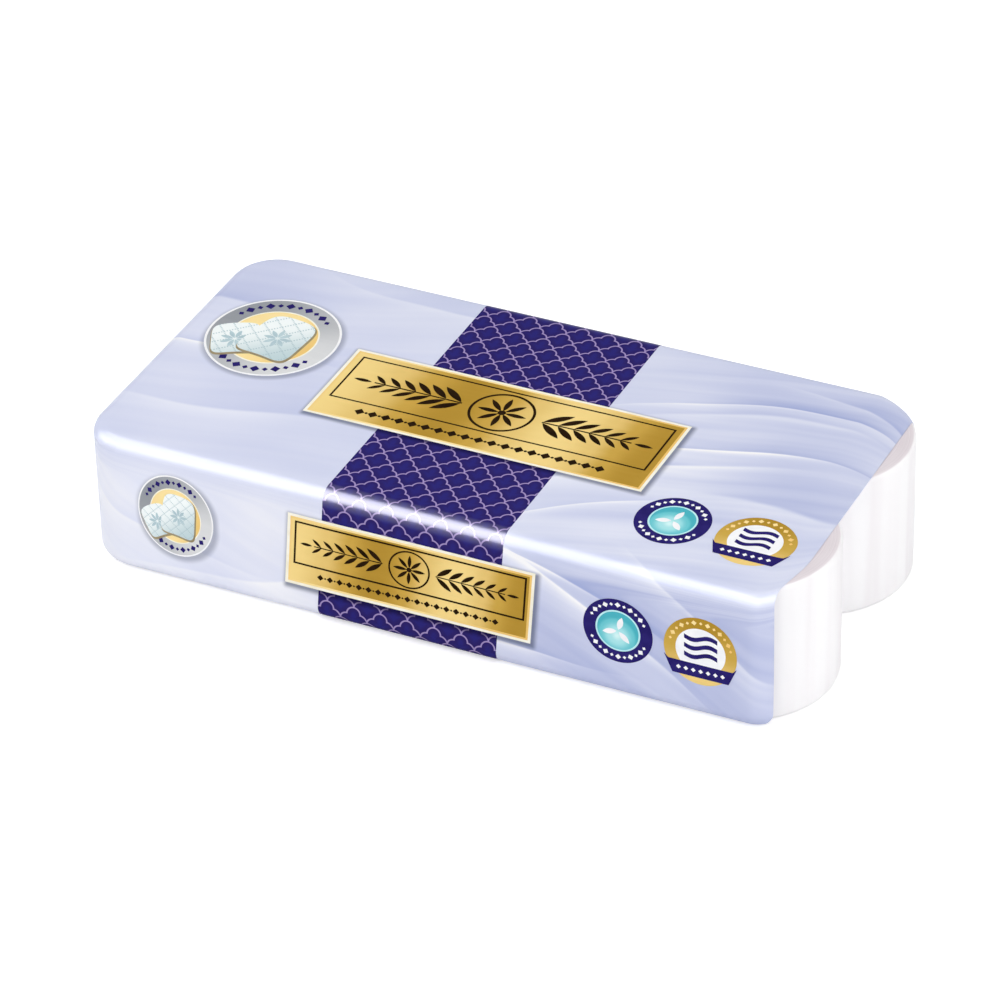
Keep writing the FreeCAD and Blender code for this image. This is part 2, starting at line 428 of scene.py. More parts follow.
# Shader steps

class Level:
    """A number that changes over the surface, for Python's own operators to work on."""

    def __init__(self, tree, socket):
        self.tree = tree
        self.socket = socket

    def calc(self, operation, *others):
        """This number and others, put through one step of arithmetic."""
        node = self.tree.nodes.new("ShaderNodeMath")
        node.operation = operation
        for socket, value in zip(node.inputs, (self, *others)):
            feed(self.tree, socket, value)
        return Level(self.tree, node.outputs[0])

    def __add__(self, other):
        return self.calc("ADD", other)

    def __sub__(self, other):
        return self.calc("SUBTRACT", other)

    def __rsub__(self, other):
        return self.calc("MULTIPLY_ADD", -1.0, other)

    def __mul__(self, other):
        return self.calc("MULTIPLY", other)

    def __truediv__(self, other):
        return self.calc("DIVIDE", other)

    def __abs__(self):
        return self.calc("ABSOLUTE")


def feed(tree, socket, value):
    """Link a level or another node's socket to a socket, or set its value."""
    if isinstance(value, Level):
        value = value.socket
    if isinstance(value, bpy.types.NodeSocket):
        tree.links.new(value, socket)
    else:
        socket.default_value = value


def feed_all(tree, node, inputs):
    for key, value in inputs.items():
        feed(tree, node.inputs[key.replace("_", " ")], value)
    return node


def add(tree, kind, settings=(), **inputs):
    node = tree.nodes.new(kind)
    for key, value in dict(settings).items():
        setattr(node, key, value)
    return feed_all(tree, node, inputs)


def paint(red, green, blue):
    """A colour that is written in sRGB, 0 to 255, as the shaders take it."""
    def linear(value):
        share = value / 255
        return share / 12.92 if share <= 0.04045 else ((share + 0.055) / 1.055) ** 2.4
    return (linear(red), linear(green), linear(blue), 1.0)


def vector_calc(tree, operation, *values):
    node = tree.nodes.new("ShaderNodeVectorMath")
    node.operation = operation
    for socket, value in zip(node.inputs, values):
        feed(tree, socket, value)
    return Level(tree, node.outputs["Value"]) if operation == "LENGTH" else node.outputs["Vector"]


def smooth_step(level, low, high):
    node = add(level.tree, "ShaderNodeMapRange", {"interpolation_type": "SMOOTHSTEP"},
               Value=level, From_Min=low, From_Max=high)
    return Level(level.tree, node.outputs["Result"])


def mix(factor, first, second):
    node = factor.tree.nodes.new("ShaderNodeMix")
    node.data_type = "RGBA"
    sockets = {socket.identifier: socket for socket in node.inputs}
    for identifier, value in (("Factor_Float", factor), ("A_Color", first), ("B_Color", second)):
        feed(factor.tree, sockets[identifier], value)
    return next(socket for socket in node.outputs if socket.identifier == "Result_Color")


def ramp(level, stops, interpolation="EASE"):
    node = add(level.tree, "ShaderNodeValToRGB", Fac=level)
    colors = node.color_ramp
    colors.interpolation = interpolation
    while len(colors.elements) < len(stops):
        colors.elements.new(0.5)
    for element, (place, color) in zip(colors.elements, stops):
        element.position = place
        element.color = paint(*color)
    return node.outputs["Color"]


def uneven(tree, vector, scale, detail=2.0, roughness=0.5):
    """Soft random levels around a half."""
    node = add(tree, "ShaderNodeTexNoise", Vector=vector, Scale=scale, Detail=detail, Roughness=roughness)
    return Level(tree, node.outputs[0])


def attribute(tree, name):
    return add(tree, "ShaderNodeAttribute", {"attribute_name": name}).outputs["Vector"]


def parts(tree, vector):
    """The first two coordinates of a vector."""
    node = add(tree, "ShaderNodeSeparateXYZ", Vector=vector)
    return Level(tree, node.outputs["X"]), Level(tree, node.outputs["Y"])


def object_point(tree):
    return tree.nodes.new("ShaderNodeTexCoord").outputs["Object"]


def new_material(name):
    material = bpy.data.materials.new(name)
    material.use_nodes = True
    tree = material.node_tree
    shader = next(node for node in tree.nodes if node.type == "BSDF_PRINCIPLED")
    return material, tree, shader


def new_group(name, inputs, outputs):
    """An empty shader group, with the sockets that it is given and those that it fills."""
    group = bpy.data.node_groups.new(name, "ShaderNodeTree")
    for way, sockets in (("INPUT", inputs), ("OUTPUT", outputs)):
        for label, kind in sockets.items():
            group.interface.new_socket(label, in_out=way, socket_type=f"NodeSocket{kind}")
    given = group.nodes.new("NodeGroupInput").outputs
    result = group.nodes.new("NodeGroupOutput").inputs
    return group, given, result


def use_group(tree, group, **inputs):
    node = tree.nodes.new("ShaderNodeGroup")
    node.node_tree = group
    return feed_all(tree, node, inputs)


def relief(tree, shader, height, strength, distance):
    bump = add(tree, "ShaderNodeBump", Strength=strength, Distance=distance, Height=height)
    feed(tree, shader.inputs["Normal"], bump.outputs["Normal"])


def film_crinkle():
    """The fine crinkle of stretched film, as a surface normal and a change of gloss."""
    group, given, result = new_group("film crinkle", {"Strength": "Float"},
                                     {"Normal": "Vector", "Roughness": "Float"})
    point = object_point(group)
    fine = uneven(group, vector_calc(group, "MULTIPLY", point, (14.0, 40.0, 40.0)), 1.0, 3.0, 0.55)
    broad = uneven(group, point, 16.0, 1.0)
    bump = add(group, "ShaderNodeBump", Strength=given["Strength"], Distance=0.6 * MM,
               Height=fine * 0.4 + broad)
    feed(group, result["Normal"], bump.outputs["Normal"])
    feed(group, result["Roughness"], fine * 0.08 + 0.24)
    return group


def satin_fold():
    """One fold of satin along a curve: a dark crease above it and a bright ridge below it."""
    labels = ("Along", "Across", "Middle", "Height", "Slope", "Bend", "Reach", "Width")
    group, given, result = new_group("satin fold", {label: "Float" for label in labels},
                                     {"Crease": "Float", "Ridge": "Float"})
    values = [Level(group, given[label]) for label in labels]
    along, across, middle, height, slope, bend, reach, width = values
    run = along - middle
    curve = slope * run + bend * (run * run)
    off = (across - (height + curve)) / width
    above = smooth_step(off, -0.08, 0.08)
    size = abs(off)
    part = run / reach

    def tail(near, far, side, centre):
        """Strongest at the fold, with a sharp and a soft share, and fading out along it."""
        sharp = (size * (-1 / near)).calc("EXPONENT") * 0.5
        soft = (size * (-1 / far)).calc("EXPONENT") * 0.5
        fade = 1.0 - smooth_step(abs(part - centre), 0.15, 1.0)
        return (sharp + soft) * side * fade

    feed(group, result["Crease"], tail(0.35, 1.3, above, 0.2))
    feed(group, result["Ridge"], tail(0.28, 1.0, 1.0 - above, -0.25))
    return group


def fold_sums(group, x, across):
    """All the satin's creases and all its ridges, each weighted and added up."""
    fold_group = satin_fold()
    creases = []
    ridges = []
    for middle, height, slope, bend, reach, width, dark, bright in SATIN_FOLDS:
        fold = use_group(group, fold_group, Along=x, Across=across, Middle=middle * MM, Height=height * MM,
                         Slope=slope, Bend=bend, Reach=reach * MM, Width=width * MM)
        creases.append(Level(group, fold.outputs["Crease"]) * dark)
        ridges.append(Level(group, fold.outputs["Ridge"]) * bright)
    return sum(creases[1:], creases[0]), sum(ridges[1:], ridges[0])


def satin_folds():
    """Soft folds of pale lilac satin, printed all over the film."""
    group, given, result = new_group("satin folds", {"Flat": "Vector"}, {"Color": "Color"})
    flat = given["Flat"]
    x, v = parts(group, flat)
    across = v + (uneven(group, flat, 5.5, 1.0, 0.4) - 0.5) * (55 * MM)
    crease, ridge = fold_sums(group, x, across)
    on_top = smooth_step(v, FRONT_TOP - 14 * MM, FRONT_TOP + 10 * MM)
    rightward = smooth_step(x, -60 * MM, 110 * MM)

    def by_side(top, front):
        return on_top * top + (1.0 - on_top) * front

    ground = by_side(0.57 - rightward * 0.03, 0.78 - rightward * 0.47)
    cloud = (uneven(group, flat, 11.0, 1.0) - 0.5) * 0.34
    flow = by_side(across - x * 0.26, across + x * 0.45)
    liveliness = smooth_step(x, 20 * MM, 120 * MM) * 0.7 + 0.3

    def threads(pitch, strength):
        """Fine gleams that run with the folds."""
        line = add(group, "ShaderNodeCombineXYZ", X=x * 5.0, Y=flow / pitch).outputs[0]
        return (uneven(group, line, 1.0, 1.0) - 0.5) * strength * liveliness

    tone = ground + cloud + (threads(30 * MM, 0.6) + threads(8 * MM, 0.34)) + ridge - crease
    feed(group, result["Color"], ramp(tone, SATIN_STOPS, "LINEAR"))
    return group


def soft_shadow():
    """The soft shadow that is printed round a plate or badge, 1 at its darkest."""
    group, given, result = new_group(
        "soft shadow", {"Flat": "Vector", "Middle": "Vector", "Half": "Vector", "Radius": "Float"},
        {"Shade": "Float"})
    off = vector_calc(group, "ABSOLUTE", vector_calc(group, "SUBTRACT", given["Flat"], given["Middle"]))
    reach = vector_calc(group, "SUBTRACT", off, given["Half"])
    distance = vector_calc(group, "LENGTH", vector_calc(group, "MAXIMUM", reach, (0.0, 0.0, 0.0)))
    shade = 1.0 - smooth_step(distance - given["Radius"], -1.0 * MM, 4.2 * MM)
    feed(group, result["Shade"], shade)
    return group


def edge_gloss():
    """How strongly the film shines: most where it is stretched over the block's front upper edge."""
    group, given, result = new_group("edge gloss", {"Flat": "Vector", "Most": "Float"}, {"Level": "Float"})
    v = parts(group, given["Flat"])[1]

    def near(middle):
        return 1.0 - smooth_step(abs(v - middle), 0.14 * ARC, 0.66 * ARC)

    back_edge = near(FLAT + ARC / 2) * BACK_EDGE_SHINE
    edge = near(-(FLAT + ARC / 2)).calc("MAXIMUM", back_edge) * given["Most"]
    feed(group, result["Level"], edge + FLAT_SHINE)
    return group


CRINKLE = film_crinkle()
EDGE_GLOSS = edge_gloss()
SATIN = satin_folds()
SHADOW = soft_shadow()


def varnish(tree, shader, most=INK_SHINE):
    """The film's own gloss; most is how strongly it shines at the block's front upper edge."""
    crinkle = use_group(tree, CRINKLE, Strength=CRINKLE_STRENGTH)
    gloss = use_group(tree, EDGE_GLOSS, Flat=attribute(tree, "flat"), Most=most)
    feed(tree, shader.inputs["Normal"], crinkle.outputs["Normal"])
    feed(tree, shader.inputs["Roughness"], crinkle.outputs["Roughness"])
    feed(tree, shader.inputs["Specular IOR Level"], gloss.outputs["Level"])


def straightened(tree, flat):
    """The flat coordinates with the lean of the plate on the front taken out."""
    x, v = parts(tree, flat)
    down = (FRONT_TOP - v).calc("MAXIMUM", 0.0).calc("MINIMUM", WALL)
    return add(tree, "ShaderNodeCombineXYZ", X=x + down * LEAN, Y=v).outputs[0]


def shaded(tree, flat, plate_flat, color, shade_color):
    """A colour darkened by the printed shadows of the plates and of the silver badges."""
    spots = [(plate_flat, plate["x"], plate["v"], plate["width"] / 2, plate["depth"] / 2, 0.0, PLATE_SHADOW)
             for plate in (TOP_PLATE, FRONT_PLATE)]
    for spot in BADGES.values():
        x, v, radius, stretch = spot["silver"]
        spots.append((flat, x, v, 0.0, radius * (stretch - 1), radius, BADGE_SHADOW))
    for place, x, v, half_width, half_depth, radius, share in spots:
        middle = (x + SHADOW_SHIFT[0], v + SHADOW_SHIFT[1], 0)
        half = (half_width, half_depth, 0)
        shadow = use_group(tree, SHADOW, Flat=place, Middle=middle, Half=half, Radius=radius)
        color = mix(Level(tree, shadow.outputs["Shade"]) * share, color, paint(*shade_color))
    return color


def satin_film():
    material, tree, shader = new_material("satin film")
    flat = attribute(tree, "flat")
    color = use_group(tree, SATIN, Flat=flat).outputs["Color"]
    color = shaded(tree, flat, straightened(tree, flat), color, (78, 86, 112))
    feed(tree, shader.inputs["Base Color"], color)
    varnish(tree, shader, SATIN_SHINE)
    return material


def trellis_ink():
    """Navy with a traditional trellis of thin lilac lines."""
    material, tree, shader = new_material("trellis ink")
    flat = attribute(tree, "flat")
    x, v = parts(tree, vector_calc(tree, "SUBTRACT", flat, (*TRELLIS_START, 0.0)))
    across = x / TRELLIS_WIDTH
    down = v / TRELLIS_LENGTH
    rising = across + down
    falling = down - across

    def line(own, other):
        """Distance to a chain of quarter arcs, two for each cell, in cells."""
        turn = (other * 2.0).calc("FRACT") * 2.0 - 1.0
        root = (2.0 - turn * turn).calc("SQRT")
        bulge = (root - 1.0) * 0.25
        off = (own - bulge + 0.5).calc("FRACT") - 0.5
        return abs(off) * (root * 0.707)

    nearest = line(rising, falling).calc("MINIMUM", line(falling, rising))
    navy = mix(uneven(tree, flat, 90.0), paint(43, 34, 97), paint(49, 40, 107))
    navy = mix(smooth_step(nearest, 0.12, 0.34), navy, paint(46, 42, 119))
    color = mix(1.0 - smooth_step(nearest, 0.022, 0.050), navy, paint(162, 144, 196))
    feed(tree, shader.inputs["Base Color"], shaded(tree, flat, flat, color, (18, 14, 50)))
    varnish(tree, shader)
    return material


def plain_ink(name, color, second):
    """One ink, with the slight unevenness of print."""
    material, tree, shader = new_material(name)
    share = smooth_step(uneven(tree, object_point(tree), 140.0), 0.3, 0.7)
    feed(tree, shader.inputs["Base Color"], mix(share, paint(*color), paint(*second)))
    varnish(tree, shader)
    return material


def foil(name, stops, metal, phase, turns=0.0, stretch=0.0, around=False):
    """Metallic ink whose tone runs in soft bands across it, or round its middle."""
    material, tree, shader = new_material(name)
    x, v = parts(tree, attribute(tree, "local"))
    if around:
        angle = v.calc("ARCTAN2", x)
    else:
        angle = x * turns - v * 0.5 + x * x * stretch
    brushed = vector_calc(tree, "MULTIPLY", object_point(tree), (30.0, 260.0, 260.0))
    grain = (uneven(tree, brushed, 1.0) - 0.5) * 0.1
    tone = (angle + phase).calc("COSINE") * 0.46 + 0.5 + grain
    feed(tree, shader.inputs["Base Color"], ramp(tone, stops))
    varnish(tree, shader)
    shader.inputs["Metallic"].default_value = metal
    return material


def aqua_glass():
    """A glassy aqua disc, light at its lower middle and deep at its rim."""
    material, tree, shader = new_material("aqua disc")
    off = vector_calc(tree, "ADD", attribute(tree, "local"), (0.05, 0.28, 0.0))
    color = ramp(vector_calc(tree, "LENGTH", off), [
        (0.0, (218, 250, 250)),
        (0.35, (172, 232, 236)),
        (0.8, (112, 204, 213)),
        (1.0, (80, 182, 196)),
    ])
    feed(tree, shader.inputs["Base Color"], color)
    varnish(tree, shader)
    return material


def quilted_ink():
    """Pale aqua sheet with a dotted lozenge quilt, shaded towards its lower right."""
    material, tree, shader = new_material("quilted sheet ink")
    x, v = parts(tree, attribute(tree, "local"))
    rising = (x + v) * 3.4
    falling = (x - v) * 3.4

    def seam(own, other):
        off = (own + 0.5).calc("FRACT") - 0.5
        line = 1.0 - smooth_step(abs(off), 0.03, 0.09)
        stitch = (other * (2 * math.pi * 5)).calc("SINE")
        return line * smooth_step(stitch, -0.4, 0.3)

    stitches = seam(rising, falling).calc("MAXIMUM", seam(falling, rising))
    shade = smooth_step(x * 0.7 - v, -0.35, 0.75)
    body = mix(shade, paint(246, 252, 252), paint(196, 216, 220))
    feed(tree, shader.inputs["Base Color"], mix(stitches * 0.75, body, paint(160, 188, 196)))
    varnish(tree, shader)
    return material


def tissue():
    """Soft white tissue: fibres all over, faint vertical streaks of painted shade on the sides, fine turns
    and a pinkish tone on the rolls' ends.
    """
    material, tree, shader = new_material("tissue")
    end, turn = parts(tree, attribute(tree, "wound"))
    point = object_point(tree)
    fibre = uneven(tree, point, 900.0, 3.0, 0.7)
    # Faint vertical streaks of painted shade on the sides, standing in for the shading of their ripples.
    streak_shade = uneven(tree, vector_calc(tree, "MULTIPLY", point, (70.0, 70.0, 3.0)), 1.0)
    side_color = mix(smooth_step(streak_shade, 0.35, 0.7), paint(253, 252, 253), paint(246, 243, 245))
    wound = add(tree, "ShaderNodeTexNoise", {"noise_dimensions": "1D"}, W=turn * 1400.0, Scale=1.0)
    rings = Level(tree, wound.outputs[0])
    tone = rings * 0.6 + uneven(tree, point, 26.0) * 0.4
    end_color = mix(smooth_step(tone, 0.3, 0.7), paint(222, 212, 217), paint(232, 224, 228))
    feed(tree, shader.inputs["Base Color"], mix(end, side_color, end_color))
    relief(tree, shader, fibre + rings * end * 1.6, 0.35, 0.25 * MM)
    feed(tree, shader.inputs["Roughness"], fibre * 0.12 + 0.86)
    shader.inputs["Specular IOR Level"].default_value = 0.0
    shader.inputs["Sheen Weight"].default_value = 0.25
    return material


def core_board():
    """Grey-brown board, flecked."""
    material, tree, shader = new_material("core board")
    flecks = uneven(tree, object_point(tree), 420.0, 3.0)
    color = mix(smooth_step(flecks, 0.3, 0.7), paint(170, 150, 126), paint(196, 178, 154))
    feed(tree, shader.inputs["Base Color"], color)
    relief(tree, shader, flecks, 0.3, 0.2 * MM)
    feed(tree, shader.inputs["Roughness"], flecks * 0.15 + 0.8)
    return material


FILM = satin_film()
TRELLIS = trellis_ink()
GOLD = foil("gold foil ink", [
    (0.0, (180, 142, 54)),
    (0.3, (204, 165, 75)),
    (0.65, (232, 199, 120)),
    (1.0, (247, 218, 142)),
], 0.02, 4.35, turns=5.0, stretch=0.64)
GOLD_RING = foil("gold ring ink", [
    (0.0, (178, 140, 48)),
    (0.45, (206, 168, 76)),
    (1.0, (243, 212, 132)),
], 0.02, 1.57, around=True)
PALE_GOLD = foil("pale gold ink", [
    (0.0, (240, 200, 116)),
    (1.0, (254, 230, 164)),
], 0.0, 0.6, turns=2.4)
SILVER = foil("silver ring ink", [
    (0.0, (152, 156, 162)),
    (0.5, (186, 188, 192)),
    (1.0, (222, 223, 224)),
], 0.02, 0.6, around=True)
CREAM = plain_ink("cream border ink", (252, 249, 236), (247, 241, 220))
WHITE = plain_ink("white ink", (253, 253, 254), (246, 247, 250))
BROWN = plain_ink("dark brown ink", (32, 20, 8), (44, 29, 14))
NAVY = plain_ink("navy ink", (40, 32, 101), (47, 39, 112))
AQUA = aqua_glass()
QUILT = quilted_ink()
PALE_AQUA = plain_ink("pale aqua ink", (186, 232, 240), (198, 238, 244))
EMBOSS = plain_ink("embossed aqua ink", (176, 200, 208), (190, 212, 218))
SHADE = plain_ink("cast shade ink", (150, 136, 104), (164, 150, 118))
TISSUE = tissue()
BOARD = core_board()


# The film

def film_block():
    """A block with its left corners, its upper and lower edges rounded and its right end open."""
    deselect()
    middle = ((LEFT + MOUTH) / 2, 0.0, (TOP + BOTTOM) / 2)
    bpy.ops.mesh.primitive_cube_add(size=1.0, location=middle)
    film = take("printed_film")
    film.scale = (MOUTH - LEFT, 2 * HALF, TOP - BOTTOM)
    set_place(film)

    def left_upright(ends):
        return all(end.x < LEFT + HAIR for end in ends) and abs(ends[0].z - ends[1].z) > EDGE

    def rim(ends):
        level = all(end.z > TOP - HAIR for end in ends) or all(end.z < BOTTOM + HAIR for end in ends)
        return level and not all(end.x > MOUTH - HAIR for end in ends)

    round_edges(film, left_upright, CORNER, CORNER_STEPS)
    edit(film, "FACE", lambda corners: all(corner.x > MOUTH - HAIR for corner in corners))
    bpy.ops.mesh.delete(type="ONLY_FACE")
    leave()
    round_edges(film, rim, EDGE, EDGE_STEPS)
    divide(film, 0, ALONG)
    divide(film, 1, ACROSS)
    divide(film, 2, [section(v)[1] for v in WALLS if v > 0])
    return film


def flat_place(point):
    """Flat film coordinates of a point on the block, the left end taken as a fold of the sides."""
    x = point.x
    if x < LEFT + CORNER and BOTTOM + EDGE <= point.z <= TOP - EDGE:
        x -= HALF - abs(point.y)
    return Vector((x, girth(point.y, point.z), 0.0))


def settle(film):
    """Sag the film between the rolls and draw its sides in towards the mouth."""
    for vertex in film.data.vertices:
        x, y, z = vertex.co
        v = girth(y, z)
        if x > LEFT + CORNER:
            vertex.co = wrapped(x, v)
        else:
            vertex.co.y = AXIS_Y + y


def keep_flat_corners(film):
    """Store each face corner's place on the flat film, which ends along the middle of the underside."""
    layer = film.data.attributes.new("flat", "FLOAT_VECTOR", "CORNER")
    for face in film.data.polygons:
        side = math.copysign(1, face.center.y)
        for index in face.loop_indices:
            x, y, z = film.data.vertices[film.data.loops[index].vertex_index].co
            layer.data[index].vector = flat_place(Vector((x, side * max(abs(y), 0.01 * HAIR), z)))


def printed_film():
    film = film_block()
    keep_flat_corners(film)
    settle(film)
    thicken(film, FILM_THICKNESS, -1)
    return finished(film, FILM, "film", "wrap_film")


def end_flap(name, root, tip, wide, narrow, lift):
    """One folded flap on the closed end, a trapezoid that stands a little off the end and puckers gently
    between its root and its tip.
    """
    deselect()
    bpy.ops.mesh.primitive_grid_add(x_subdivisions=40, y_subdivisions=12, size=2.0)
    flap = take(name)
    for vertex in flap.data.vertices:
        side, share = vertex.co.x, (vertex.co.y + 1) / 2
        half = wide + (narrow - wide) * share
        y = side * half
        z = root + (tip - root) * share
        pucker = 0.5 + 0.5 * noise.noise(Vector((y / (16 * MM), z / (10 * MM), 3.0)))
        stand = lift + FLAP_PUCKER * pucker * math.sin(math.pi * min(1.0, share * 1.3))
        vertex.co = (LEFT - stand, AXIS_Y + y, z)
    if tip > root:
        turn_over(flap)
    keep_coordinates(flap, "flat", lambda point: Vector((LEFT - FLAP_PRINT_SHIFT + point.z, point.y, 0.0)))
    thicken(flap, FLAP_THICKNESS, -1)
    return finished(flap, FILM, "film")


def end_flaps():
    wide = HALF - CORNER
    half_height = (TOP + BOTTOM) / 2
    drop = half_height + FLAP_OVERLAP - EDGE
    end_flap("upper_end_flap", TOP - EDGE, half_height - FLAP_OVERLAP, wide, wide - drop, UPPER_FLAP_STAND)
    end_flap("lower_end_flap", BOTTOM + EDGE, half_height + FLAP_OVERLAP, wide, wide - drop, LOWER_FLAP_STAND)


def lap_seam():
    """The strip on the back where the film's edge is laid over itself and welded."""
    left = LEFT + CORNER + 2 * MM
    seam = rectangle("lap_seam", MOUTH - left, SEAM_DEPTH)
    return print_on_film(seam, (MOUTH + left) / 2, SEAM_V, SEAM_DEPTH, 0.0, FILM, layer=SEAM_RISE)


# Flat print shapes, drawn about their own middle

def rectangle(name, width, depth):
    deselect()
    bpy.ops.mesh.primitive_plane_add(size=1.0)
    piece = take(name)
    piece.scale = (width, depth, 1.0)
    return set_place(piece)


def disc(name, radius, corners=72):
    deselect()
    bpy.ops.mesh.primitive_circle_add(vertices=corners, radius=radius, fill_type="NGON")
    return take(name)


def hollow(piece, width):
    """Leave only a rim of a width."""
    edit(piece)
    bpy.ops.mesh.inset(thickness=width)
    bpy.ops.mesh.delete(type="FACE")
    leave()
    return piece


def leaf(name, length, width):
    """A pointed leaf along X."""
    piece = disc(name, 1.0, 28)
    for vertex in piece.data.vertices:
        x, y = vertex.co.x, vertex.co.y
        vertex.co = (x * length / 2, y * math.sqrt(max(0.0, 1 - x * x)) * width / 2, 0.0)
    edit(piece)
    bpy.ops.mesh.remove_doubles(threshold=0.001 * MM)
    leave()
    return piece


def stamp(name, source, places):
    """Copies of a flat shape at x, v, turn and scale, joined as one piece."""
    copies = []
    for x, v, turn, scale in places:
        copy = source.copy()
        copy.data = source.data.copy()
        bpy.context.collection.objects.link(copy)
        place = Matrix.Translation((x, v, 0))
        copy.matrix_world = place @ Matrix.Rotation(turn, 4, "Z") @ Matrix.Scale(scale, 4)
        copies.append(copy)
    bpy.data.objects.remove(source)
    return join(name, copies)


def join(name, pieces):
    """Put each piece's place into its mesh, and make all of them one piece."""
    deselect()
    for piece in pieces:
        piece.select_set(True)
    bpy.context.view_layer.objects.active = pieces[0]
    bpy.ops.object.transform_apply(location=True, rotation=True, scale=True)
    if len(pieces) > 1:
        bpy.ops.object.join()
    return take(name)


def ring_places(radius, angles, scale=1.0):
    """Places on a circle for stamp, each turned outwards."""
    return [(radius * math.cos(angle), radius * math.sin(angle), angle, scale) for angle in angles]


def row_places(count, spacing, v=0.0):
    """Evenly spaced places for stamp, in a row about the middle."""
    return [((index - (count - 1) / 2) * spacing, v, 0.0, 1.0) for index in range(count)]


def print_on_film(piece, x, v, reach, lift, material, stretch=1.0, layer=INK, astray=False):
    """Lay a flat shape on the film, lifted in mm, its middle at x, v, divided along the film's own lines."""
    for vertex in piece.data.vertices:
        vertex.co.x += x
        vertex.co.y = v + vertex.co.y * stretch
    divide(piece, 0, ALONG)
    divide(piece, 1, ACROSS + WALLS + EDGES)
    if piece.data.polygons[0].normal.z < 0:
        turn_over(piece)
    thicken(piece, layer, 1)
    keep_coordinates(piece, "flat", lambda point: Vector((point.x, point.y, 0.0)))
    keep_coordinates(piece, "local", lambda point: Vector((point.x - x, point.y - v, 0.0)) / reach)
    for vertex in piece.data.vertices:
        aside = stray(vertex.co.y) if astray else 0.0
        vertex.co = wrapped(vertex.co.x - aside, vertex.co.y, vertex.co.z + lift * MM)
    return finished(piece, material, "film")


def navy_band():
    """The patterned band round the pack, one piece for each side."""
    width = BAND_RIGHT - BAND_LEFT
    middle = (BAND_LEFT + BAND_RIGHT) / 2
    quarter_turn = ARC / 2
    top_half = FLAT + quarter_turn
    side_end = FLAT + 2 * ARC + WALL - quarter_turn
    girth_half = 2 * FLAT + 2 * ARC + WALL
    spans = {
        "top": (-top_half, top_half),
        "front": (-side_end, -top_half),
        "back": (top_half, side_end),
        "under_front": (-girth_half, -side_end),
        "under_back": (side_end, girth_half),
    }
    for side, (low, high) in spans.items():
        piece = rectangle(f"navy_band_{side}", width, high - low)
        print_on_film(piece, middle, (low + high) / 2, width, BAND_LIFT, TRELLIS, astray=True)
    over_seam = rectangle("navy_band_seam", width, SEAM_DEPTH)
    print_on_film(over_seam, middle, SEAM_V, width, BAND_LIFT + SEAM_RISE / MM, TRELLIS)


def laurel(name, reach, leaf_length):
    """A traditional laurel sprig to each side of a ringed rosette."""
    pairs = 6
    stem_start = leaf_length * 1.35
    places = []
    for index in range(pairs):
        share = index / (pairs - 1)
        size = 1.0 - 0.40 * share
        foot = stem_start + leaf_length * 0.12 + (reach - stem_start - leaf_length * 0.95) * share
        for side in (1, -1):
            for up in (1, -1):
                turn = up * math.radians(38)
                x = foot + size * leaf_length * 0.40 * math.cos(turn)
                y = size * leaf_length * 0.56 * math.sin(turn)
                places.append((side * x, y, turn if side > 0 else math.pi - turn, size))
    for side in (1, -1):
        places.append((side * (reach - leaf_length * 0.1), 0.0, 0.0, 0.62))
    petals = ring_places(leaf_length * 0.46, [math.pi / 4 * index for index in range(8)], 0.72)
    leaves = stamp(name, leaf("leaf", leaf_length, leaf_length * 0.26), places + petals)
    stem_length = reach - leaf_length * 0.5 - stem_start
    stems = stamp("stem", rectangle("stem_line", stem_length, leaf_length * 0.06),
                  [(side * (stem_start + stem_length / 2), 0.0, 0.0, 1.0) for side in (1, -1)])
    heart = disc("heart", leaf_length * 0.13, 24)
    ring = hollow(disc("ring", leaf_length * 1.06, 64), leaf_length * 0.09)
    return join(name, [leaves, stems, heart, ring])


def bead_row(name, count, spacing, size):
    """A row of small lozenges between dots."""
    lozenges = stamp(name, disc("lozenge", size, 4), row_places(count, spacing))
    dots = stamp("dots", disc("dot", size * 0.30, 14), row_places(count - 1, spacing))
    return join(name, [lozenges, dots])


def gold_plate(side, plate):
    """A cream-edged gold plate: a thin dark frame round a laurel, and a row of lozenges below it."""
    x, v, width, depth = plate["x"], plate["v"], plate["width"], plate["depth"]
    frame_width, frame_depth = plate["frame_width"], plate["frame_depth"]
    frame_v = v + plate["frame_rise"]
    field_inset = 2 * (PLATE_BORDER + PLATE_BEVEL)
    field_depth = depth - field_inset
    strip_v = (v - field_depth / 2 + frame_v - frame_depth / 2) / 2
    bead_spacing = frame_width * 0.80 / PLATE_BEADS

    def lay(piece, height, lift, material):
        print_on_film(piece, x, height, width / 2, lift, material, astray=True)

    lay(rectangle(f"plate_border_{side}", width, depth), v, 0.06, CREAM)
    bevel = rectangle(f"plate_bevel_{side}", width - 2 * PLATE_BORDER, depth - 2 * PLATE_BORDER)
    lay(bevel, v, 0.08, PALE_GOLD)
    lay(rectangle(f"plate_field_{side}", width - field_inset, field_depth), v, 0.10, GOLD)
    lay(hollow(rectangle(f"plate_frame_{side}", frame_width, frame_depth), FRAME_LINE), frame_v, 0.12, BROWN)
    lay(laurel(f"plate_laurel_{side}", frame_width * 0.455, frame_depth * 0.41), frame_v, 0.12, BROWN)
    beads = bead_row(f"plate_beads_{side}", PLATE_BEADS, bead_spacing, frame_depth * 0.07)
    lay(beads, strip_v, 0.12, BROWN)


def beads_on_arc(name, radius, middle, spread, count, size):
    """Large and small lozenges in turn along an arc, angles in degrees."""
    angles = [math.radians(middle + spread * (index / (count - 1) - 0.5)) for index in range(count)]
    places = []
    for index, angle in enumerate(angles):
        places += ring_places(radius, [angle], 1.0 if index % 2 else 0.62)
    return stamp(name, disc("bead", size, 4), places)


